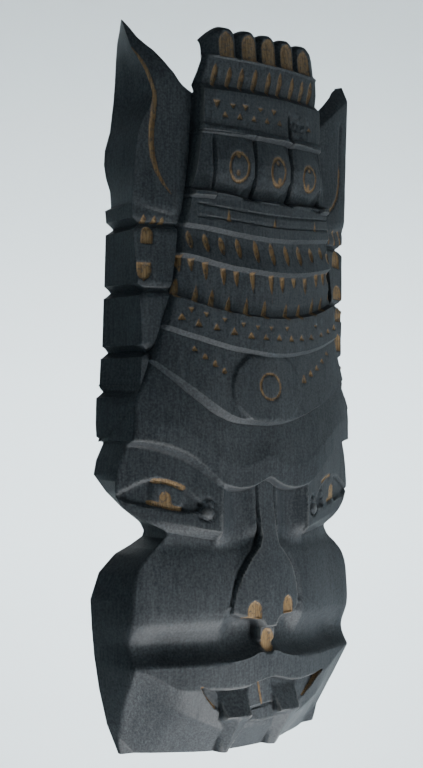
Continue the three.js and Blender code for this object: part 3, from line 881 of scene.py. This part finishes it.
LEAF_LINE = {
    -1: [
        (98.8, 232.6), (95.3, 227.4), (91.3, 219.4), (88.1, 210.3), (85.3, 201.5), (85.1, 194.6),
        (85.8, 187.6), (87, 178.2), (87.4, 168), (86.6, 158), (84, 148), (79.6, 139.5),
        (74, 132.5)],
    1: [(88, 205), (86.5, 190), (85.6, 174), (84.6, 160), (81.5, 148), (76, 140.5), (68, 134)],
}
WING_MARKS = {
    -1: (row(tooth, 2.0, [(91.6, 118.4, 111.6), (84.4, 117.4, 111.6), (79, 117.2, 111.4)])
         + row(arch, 4.3, [(89.6, 109.2, 97.4)], tilt=0.06)
         + row(arch, 5.0, [(91.8, 85, 73)], tilt=math.pi)
         + row(arch, 3.0, [(99, 64.5, 55)]) + row(oval, 2.0, [(101.5, 40, 35.5)], depth=0.7)
         + row(oval, 1.8, [(103.5, -24, -29)], depth=0.7)),
    1: (row(arch, 5.2, [(80.5, 107.3, 94.5)], tilt=-0.1) + row(arch, 5.8, [(81.5, 81.5, 70.5)])
        + row(arch, 5.4, [(83.5, 64.5, 54)]) + row(arch, 4.4, [(84, 44.5, 32)])
        + row(arch, 5.0, [(89.5, 18.5, 9.5)], depth=0.8)),
}
WING_LINES = {
    -1: [],
    1: [([(69, 121), (71.5, 116), (72, 112.6)], 0.9),
        ([(76, 121.6), (79, 116.6), (80, 112.6)], 1.0),
        ([(84, 122.4), (87, 117), (88, 112.6)], 1.0),
        ([(91, 122), (94.4, 117), (95.4, 113)], 0.9)],
}


def wing_surface(side, across, z):
    """Depth of a wing's front at a distance across from the middle."""
    seam, inner_depth = ramp(z, SEAM), ramp(z, GROOVE_DEPTH)
    share = np.clip((across - seam) / np.maximum(ARRIS_HALF - seam, 2), 0, 1.2)
    depth = inner_depth + (ARRIS_DEPTH - inner_depth) * share
    above = z - curve(across, LEAF_END[side])
    leaf = smooth(-0.8, 1.2, above)
    roll = 1.6 * np.sin(np.pi * np.clip(share, 0, 1)) * leaf
    depth += 1.2 * leaf + roll - leaf * smooth(6, 0, above)
    for groove in WING_GROOVES[side]:
        away = np.abs(z - groove)
        depth -= 2.6 * smooth(2.4, 0.3, away) + 1.2 * smooth(6.0, 1.5, away)
    if side > 0:
        fold = (across - 55) * 0.78 + NOTCH_FLOOR - z
        return depth - 0.5 * np.maximum(13 - fold, 0)
    return depth - 14 * (np.maximum(z - 205, 0) / 48) ** 2


def notches(side, z):
    """How far the sharp edge is cut back where the bars meet."""
    cut = 3.5 * np.maximum(1 - (z + 36.8) / 3.6, 0)
    for groove in WING_GROOVES[side]:
        away = np.abs(z - groove)
        cut = np.maximum(cut, 5.5 * np.maximum(1 - away / GROOVE_REACH, 0) ** 0.8)
    return cut


def wing_rows(side):
    """Heights of a wing's mesh rows, closer together in its grooves."""
    stops = [*LEAF_STOPS[side], NOTCH_FLOOR, 130]
    for groove in WING_GROOVES[side]:
        stops += [groove + GROOVE_REACH, groove, groove - GROOVE_REACH]
    stops += [-32.6, -36.6]
    heights = []
    for upper, lower in zip(stops, stops[1:]):
        near = upper - lower < 4.5
        count = max(1, round((upper - lower) / (0.6 if near else 1.25)))
        heights += list(upper + (lower - upper) * np.arange(count) / count)
    return np.array(heights + [stops[-1]])


def leaf_lined(side, across, z, depth, inside):
    """Cuts the line that runs along the leaf."""
    away = line_distance(across, z, LEAF_LINE[side])
    if side < 0:
        half = ramp(z, [(131, 0.5), (140, 1.2), (155, 1.9), (200, 2.1), (222, 1.7), (233, 0.4)])
        cut = np.clip(GOUGE_SLOPE * (half + 0.2 - away), 0, 1.3)
    else:
        half = 1.1 * smooth(176, 168, z)
        cut = np.clip(0.8 * (1.6 - away), 0, 1.0)
    return depth - cut, np.maximum(inside, half - away)


def wing(side, name):
    z = wing_rows(side)
    inner = np.where(z > NOTCH_FLOOR, curve(z, LEAF_INNER[side]), ramp(z, SEAM) + GLUE_GAP / 2)
    cut = notches(side, z)
    outer = np.maximum(curve(z, WING_FRONT_HALF[side]) - cut, inner)
    back = ramp(z, WING_BACK_HALF[side]) - cut
    outer = np.where(z > 200, np.maximum(outer, inner + 0.6), outer)
    back = np.where(z > 200, back, np.maximum(back, inner + 0.6))
    level, inner, outer, back = (column[:, None] for column in (z, inner, outer, back))

    def leaf_back(z):
        """The right leaf is thinned from behind towards its tip."""
        return LEAF_THINNING[side] * np.maximum(z - NOTCH_FLOOR, 0)

    across = inner + (outer - inner) * np.linspace(0, 1, WING_COLUMNS + 1)
    z = np.broadcast_to(level, across.shape)
    plain = wing_surface(side, across, z)
    flank = ARRIS_DEPTH * (back - across) / np.maximum(back - ARRIS_HALF, 1)
    plain = np.maximum(np.where(z < -5, np.minimum(plain, flank), plain), 1.5)
    depth, inside = gouged(across, z, plain, WING_MARKS[side], WING_LINES[side])
    depth, inside = leaf_lined(side, across, z, depth, inside)
    depth = depth + chiselled(across * side, z)
    # How far each point stands out sets its rubbed edge, partly a painted highlight, and its
    # painted shade in hollows.
    front = strip(across, z, depth, inside, standing_out(plain))

    t = np.linspace(0, 1, WING_SIDE_STEPS + 1)
    seam_edge, sharp_edge, behind = depth[:, :1], depth[:, -1:], leaf_back(level)
    flank = sharp_edge + (behind - sharp_edge) * t[1:]
    bulge = 0.5 * noise(flank, level, 12, 30, 21) * np.sin(np.pi * t[1:])
    bulge[[0, -1]] = 0
    undercut = 0.8 * (seam_edge - behind) * smooth(NOTCH_FLOOR, 214, level) * (side > 0)
    inner_back = np.minimum(inner + undercut, back - 0.5)
    grid = np.concatenate([
        strip(inner_back + (inner - inner_back) * t[:-1], level,
              behind + (seam_edge - behind) * t[:-1]),
        front,
        strip(outer + (back - outer) * t[1:] + bulge, level, flank),
    ], axis=1)
    points, faces = wrap(grid, WING_SIDE_STEPS, leaf_back, WING_SIDE_STEPS, NOTCH_FLOOR)
    points[:, 0] *= side
    return carved_object(name, points, faces)


# ---- hanger ----

RING_HEIGHT = 158
PLATE_BACK, PLATE_FRONT, PLATE_TOP = 7.5, 8.7, 186.0
HINGE_DEPTH = 6.0
HEAD_GAP = 0.3


def arc(x, y, radius, start, sweep, steps):
    """Points of an arc between two angles in degrees."""
    angles = [math.radians(start + sweep * k / steps) for k in range(steps + 1)]
    return [(x + radius * math.cos(a), y + radius * math.sin(a)) for a in angles]


def skin(work, loops, closed=False):
    """Faces between loops of points, and from the last loop to the first if closed."""
    loops = [[work.verts.new(point) for point in loop] for loop in loops]
    for near, far in zip(loops, loops[1:] + loops[:closed]):
        for k in range(len(near)):
            j = (k + 1) % len(near)
            work.faces.new((near[k], near[j], far[j], far[k]))
    return loops


def steel_object(name, work):
    """An object from a bmesh whose points are (x, z, depth) in mm."""
    for vert in work.verts:
        x, z, depth = vert.co
        vert.co = (x * MM, -depth * MM, z * MM)
    return linked_object(name, bpy.data.meshes.new(name), work, SHARP_STEEL)


def ring_piece():
    """A D of wire: a straight bar through the strap's loop, two short legs and a round bow."""
    half, leg, corner, wire, sides = 11.0, 5.0, 1.6, 1.2, 20
    corner_height = RING_HEIGHT - corner
    path = ([(x, RING_HEIGHT) for x in np.linspace(-half + corner, half - corner, 16)]
            + arc(half - corner, corner_height, corner, 90, -90, 6)[1:]
            + arc(0, RING_HEIGHT - leg, half, 0, -180, 40)
            + arc(-half + corner, corner_height, corner, 180, -90, 6)[:-1])
    loops = []
    for i, (x, z) in enumerate(path):
        ahead = np.subtract(path[(i + 1) % len(path)], path[i - 1])
        nx, nz = np.array([ahead[1], -ahead[0]]) / np.hypot(*ahead)
        loops.append([(x + nx * across, z + nz * across, depth)
                      for across, depth in arc(0, HINGE_DEPTH, wire, 0, 360, sides)[:-1]])
    work = bmesh.new()
    skin(work, loops, closed=True)
    return steel_object("ring_wire", work)


def screw_piece(name, height):
    """A round-headed screw, its head towards the wall and its shank in the wood."""
    seat = PLATE_BACK - HEAD_GAP
    profile = [(0.4, seat - 1.5), (1.2, seat - 1.44), (2.0, seat - 1.2), (2.7, seat - 0.75),
               (2.98, seat - 0.3), (2.98, seat), (1.36, seat)]
    for k in range(9):
        depth = seat + 2.2 + k * 0.8
        wide = 1.36 - 0.03 * k
        profile += [(wide, depth), (wide - 0.3, depth + 0.4)]
    profile += [(0.9, seat + 9.8), (0.15, seat + 11.9)]
    work = bmesh.new()
    loops = skin(work, [[(x, z, depth) for x, z in arc(0, height, radius, 0, 360, 28)[:-1]]
                        for radius, depth in profile])
    work.faces.new(loops[0])
    work.faces.new(loops[-1][::-1])
    return steel_object(name, work)


def strap_piece():
    """A plate screwed to the pocket's floor, its lower end rolled round the ring's bar."""
    half, chamfer = 6.0, 3.0
    outside, inside = (arc(HINGE_DEPTH, RING_HEIGHT, radius, 0, -285, 28) for radius in (2.7, 1.5))
    section = [(PLATE_FRONT, PLATE_TOP), *outside, *inside[::-1], (PLATE_BACK, PLATE_TOP)]
    stations = [(-half, chamfer), (chamfer - half, 0), (half - chamfer, 0), (half, chamfer)]
    work = bmesh.new()
    loops = skin(work, [[(x, z - drop if z == PLATE_TOP else z, depth) for depth, z in section]
                        for x, drop in stations])
    for loop in (loops[0], loops[-1]):
        flat = [Vector((vert.co.z, vert.co.y, 0)) for vert in loop]
        for face in tessellate_polygon([flat]):
            work.faces.new([loop[i] for i in face])
    return steel_object("strap_plate", work)


# ---- stage ----

LENS, SENSOR = 38.84375, 24
CAMERA_AT = (-0.5588, -0.7315, -0.0342)
CAMERA_YAW, CAMERA_PITCH = math.radians(37), math.radians(2.5)
# Radius and height of the pale floor, which curves up into a wall.
FLOOR_PROFILE = [
    (3.0, -1.3), (3.6, -1.26), (4.1, -1.1), (4.5, -0.8), (4.75, -0.4), (4.85, 0.2), (4.85, 3.0),
]
FLOOR_SIDES = 96
# Where each lamp is, where it points, its diameter in metres and its power in watts.
LAMPS = {
    "key": ((0.05, -0.30, -0.52), (0, -0.05, -0.10), 0.25, 3.4),
    "low": ((0.02, -0.22, -0.62), (0, -0.05, -0.10), 0.25, 1.3),
    "front": ((0.05, -0.50, -0.42), (0, -0.04, -0.03), 0.25, 0.4),
    "side": ((0.45, -0.68, 0.11), (0, -0.04, -0.03), 0.35, 0.85),
    "backdrop_low": ((0.9, 1.2, -0.95), (2.7, 3.6, -0.75), 1.2, 430),
    "backdrop_high": ((0.9, 1.2, -0.9), (2.9, 3.9, 1.8), 1.2, 60),
    "backdrop_left": ((-1.4, 0.7, -0.95), (-3.8, 1.9, -0.2), 1.2, 36),
    "backdrop_front": ((1.0, -1.3, -0.95), (3.0, -3.9, -0.3), 1.2, 50),
    "top_rear": ((1.0, 1.6, 1.6), (0, 0, 0), 1.2, 9),
}


def camera():
    """The photo's view: from the mask's right-hand side, a little below its middle."""
    data = bpy.data.cameras.new("camera")
    data.sensor_fit = "VERTICAL"
    data.sensor_height = SENSOR
    data.lens = LENS
    level = math.cos(CAMERA_PITCH)
    forward = Vector((math.sin(CAMERA_YAW) * level, math.cos(CAMERA_YAW) * level,
                      math.sin(CAMERA_PITCH)))
    right = Vector((math.cos(CAMERA_YAW), -math.sin(CAMERA_YAW), 0))
    rig = bpy.data.objects.new("camera", data)
    rig.matrix_world = Matrix((right, right.cross(forward), -forward)).transposed().to_4x4()
    rig.matrix_world.translation = CAMERA_AT
    bpy.context.collection.objects.link(rig)
    bpy.context.scene.camera = rig


def area_light(name, at, towards, size, watts):
    data = bpy.data.lights.new(name, "AREA")
    data.shape = "DISK"
    data.size = size
    data.energy = watts
    lamp = bpy.data.objects.new(name, data)
    lamp.location = at
    lamp.rotation_euler = (Vector(towards) - Vector(at)).to_track_quat("-Z", "Y").to_euler()
    lamp.visible_camera = False
    bpy.context.collection.objects.link(lamp)


def stage():
    """A round pale floor, well away from the mask on every side."""
    angles = [2 * math.pi * i / FLOOR_SIDES for i in range(FLOOR_SIDES)]
    points = [(r * math.cos(a), r * math.sin(a), z) for r, z in FLOOR_PROFILE for a in angles]
    faces = [list(range(FLOOR_SIDES))]
    for start in range(0, len(points) - FLOOR_SIDES, FLOOR_SIDES):
        for i in range(FLOOR_SIDES):
            near, far = start + i, start + (i + 1) % FLOOR_SIDES
            faces.append([near, near + FLOOR_SIDES, far + FLOOR_SIDES, far])
    mesh = bpy.data.meshes.new("floor")
    mesh.from_pydata(points, [], faces)
    mesh.shade_smooth()
    floor = bpy.data.objects.new("floor", mesh)
    paint = Graph("pale_floor", 0.9)
    mesh.materials.append(paint.finish((0.56, 0.63, 0.655, 1)))
    bpy.context.collection.objects.link(floor)


def sky():
    world = bpy.data.worlds.new("sky")
    world.use_nodes = True
    background = world.node_tree.nodes["Background"]
    background.inputs["Color"].default_value = (0.8, 0.86, 0.92, 1)
    background.inputs["Strength"].default_value = 0.12
    bpy.context.scene.world = world


# ---- materials ----

class Graph:
    """Short calls for building a material's nodes."""

    def __init__(self, name, roughness, specular=0.5, metallic=0.0):
        self.material = bpy.data.materials.new(name)
        self.material.use_nodes = True
        self.tree = self.material.node_tree
        self.surface = self.tree.nodes["Principled BSDF"]
        for socket, value in (("Roughness", roughness), ("Specular IOR Level", specular),
                              ("Metallic", metallic)):
            self.surface.inputs[socket].default_value = value
        self.place = self.tree.nodes.new("ShaderNodeTexCoord").outputs["Object"]

    def set(self, socket, value):
        if isinstance(value, bpy.types.NodeSocket):
            self.tree.links.new(value, socket)
        else:
            socket.default_value = value

    def node(self, kind, inputs):
        node = self.tree.nodes.new(kind)
        for socket, value in inputs.items():
            self.set(node.inputs[socket], value)
        return node

    def noise(self, scale, detail=2.0, stretch=(1, 1, 1), distortion=0.0):
        mapping = self.node("ShaderNodeMapping", {"Scale": stretch, "Vector": self.place})
        node = self.node("ShaderNodeTexNoise", {
            "Scale": scale, "Detail": detail, "Distortion": distortion,
            "Vector": mapping.outputs["Vector"]})
        return node.outputs["Fac"]

    def layer(self, name):
        node = self.node("ShaderNodeAttribute", {})
        node.attribute_name = name
        return node.outputs["Fac"]

    def math(self, operation, a, b=0.0):
        node = self.node("ShaderNodeMath", {0: a, 1: b})
        node.operation = operation
        return node.outputs[0]

    def add(self, first, *terms):
        """The sum of a value and of (value, weight) terms."""
        for value, weight in terms:
            first = self.math("ADD", first, self.math("MULTIPLY", value, weight))
        return first

    def ragged(self, value, texture):
        """A value whose edges are broken up by a texture."""
        return self.add(value, (self.math("SUBTRACT", texture, 0.5), 0.9))

    def fit(self, value, low, high, to_low=0.0, to_high=1.0):
        numbers = dict(enumerate((value, low, high, to_low, to_high)))
        return self.node("ShaderNodeMapRange", numbers).outputs["Result"]

    def mix(self, factor, a, b):
        node = self.tree.nodes.new("ShaderNodeMix")
        node.data_type = "RGBA"
        self.set(node.inputs[0], factor)
        for socket, colour in ((node.inputs[6], a), (node.inputs[7], b)):
            self.set(socket, colour if isinstance(colour, bpy.types.NodeSocket) else (*colour, 1))
        return node.outputs[2]

    def bump(self, height, distance, strength):
        node = self.node("ShaderNodeBump", {
            "Strength": strength, "Distance": distance, "Height": height})
        self.set(self.surface.inputs["Normal"], node.outputs["Normal"])

    def finish(self, colour, roughness=None):
        self.set(self.surface.inputs["Base Color"], colour)
        if roughness is not None:
            self.set(self.surface.inputs["Roughness"], roughness)
        return self.material


def stained_wood():
    """Black stain over pale wood: fibres down the grain, rubbed grey on the edges (partly wear,
    partly a painted highlight), painted shade in the hollows, and gone where a gouge cut through
    it."""
    g = Graph("stained_wood", 0.6, specular=0.3)
    fibre = g.noise(1, 3, (700, 700, 45), 0.4)
    pores = g.noise(1, 2, (1900, 1900, 150))
    speck = g.noise(640, 4)
    cloud = g.noise(16, 3, (1, 1, 0.5))
    tone = g.add(g.math("MULTIPLY", fibre, 0.25), (speck, 0.5), (cloud, 0.25))
    colour = g.mix(g.fit(tone, 0.4, 0.62), (0.0135, 0.0175, 0.022), (0.05, 0.0565, 0.062))
    colour = g.mix(g.fit(pores, 0.36, 0.24), colour, (0.012, 0.013, 0.015))

    # Edges that stand out are rubbed grey: partly real wear, partly a painted highlight.
    rubbed_and_highlight = g.fit(g.ragged(g.layer("wear_highlight_and_shade"), speck), 0.35, 1.3, 0.0, 0.75)
    colour = g.mix(rubbed_and_highlight, colour, (0.088, 0.09, 0.09))
    # Hollows and furrows are painted nearly black, as shade.
    painted_hollow_shade = g.fit(g.layer("wear_highlight_and_shade"), -0.25, -1.2, 0.0, 0.7)
    colour = g.mix(painted_hollow_shade, colour, (0.012, 0.0135, 0.016))

    bare = g.ragged(g.layer("bare"), fibre)
    streak = g.noise(1, 3, (1400, 1400, 60), 0.3)
    wood = g.mix(g.fit(streak, 0.35, 0.68), (0.115, 0.066, 0.026), (0.25, 0.165, 0.075))
    wood = g.mix(g.fit(bare, 1.0, 0.1, 0.0, 0.7), wood, (0.085, 0.048, 0.02))
    # Bare wood shows in patches of real stain left in the gouges, and less of it towards the top
    # as painted shade.
    patchy_stain_and_shade = g.math("MULTIPLY", g.fit(g.noise(420, 3), 0.30, 0.52), g.layer("painted_light_by_height"))
    open_wood = g.math("MULTIPLY", g.fit(bare, -0.1, 0.3), g.fit(patchy_stain_and_shade, 0.0, 0.8, 0.25, 1.0))
    colour = g.mix(open_wood, colour, wood)

    height = g.add(g.math("MULTIPLY", fibre, 0.6), (speck, 0.25))
    height = g.math("ADD", height, g.fit(pores, 0.24, 0.40, -0.35, 0.0))
    g.bump(height, 0.00045, 0.55)
    return g.finish(colour, g.fit(tone, 0.3, 0.75, 0.5, 0.72))


def zinc_plated_steel():
    """Dull silver plating with a faint spangle and darker smears."""
    g = Graph("zinc_plated_steel", 0.35, metallic=1.0)
    spangle = g.noise(420, 2)
    smear = g.noise(90, 4, (1, 1, 0.4), 0.6)
    tone = g.add(g.math("MULTIPLY", spangle, 0.5), (smear, 0.5))
    colour = g.mix(g.fit(tone, 0.35, 0.65), (0.33, 0.33, 0.32), (0.62, 0.61, 0.58))
    colour = g.mix(g.fit(smear, 0.62, 0.8, 0.0, 0.6), colour, (0.16, 0.13, 0.1))
    g.bump(g.add(spangle, (smear, 0.5)), 0.0001, 0.4)
    return g.finish(colour, g.fit(smear, 0.3, 0.7, 0.28, 0.5))


def beech():
    """Pale dowel wood, its grain running along the peg."""
    g = Graph("beech", 0.6)
    grain = g.noise(1, 3, (60, 900, 900), 0.3)
    fleck = g.noise(1, 2, (300, 2200, 2200))
    colour = g.mix(g.fit(grain, 0.35, 0.65), (0.36, 0.22, 0.11), (0.62, 0.44, 0.25))
    colour = g.mix(g.fit(fleck, 0.62, 0.72, 0.0, 0.5), colour, (0.2, 0.11, 0.05))
    g.bump(g.add(grain, (fleck, 0.4)), 0.0003, 0.4)
    return g.finish(colour, g.fit(grain, 0.3, 0.7, 0.5, 0.7))


# ---- the scene ----

camera()
stage()
sky()
for lamp, settings in LAMPS.items():
    area_light(lamp, *settings)

wood = stained_wood()
for piece, node in ((core(), "core_carving"), (wing(-1, "left_ear"), "left_ear_wing"),
                    (wing(1, "right_ear"), "right_ear_wing")):
    piece.data.materials.append(wood)
    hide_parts(node)
    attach(piece, "mask")

metal = zinc_plated_steel()
for piece, node, body in ((ring_piece(), "hanger_ring", "ring"),
                          (strap_piece(), "hanger_strap", "mask"),
                          (screw_piece("upper_screw", 180.5), "hanger_screw_2", "mask"),
                          (screw_piece("lower_screw", 167), "hanger_screw_1", "mask")):
    piece.data.materials.append(metal)
    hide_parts(node)
    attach(piece, body)

dowel_wood = beech()
for side in ("left", "right"):
    for height in ("upper", "lower"):
        dowel = bpy.data.objects[f"{side}_{height}_dowel"]
        dowel.data.materials.clear()
        dowel.data.materials.append(dowel_wood)
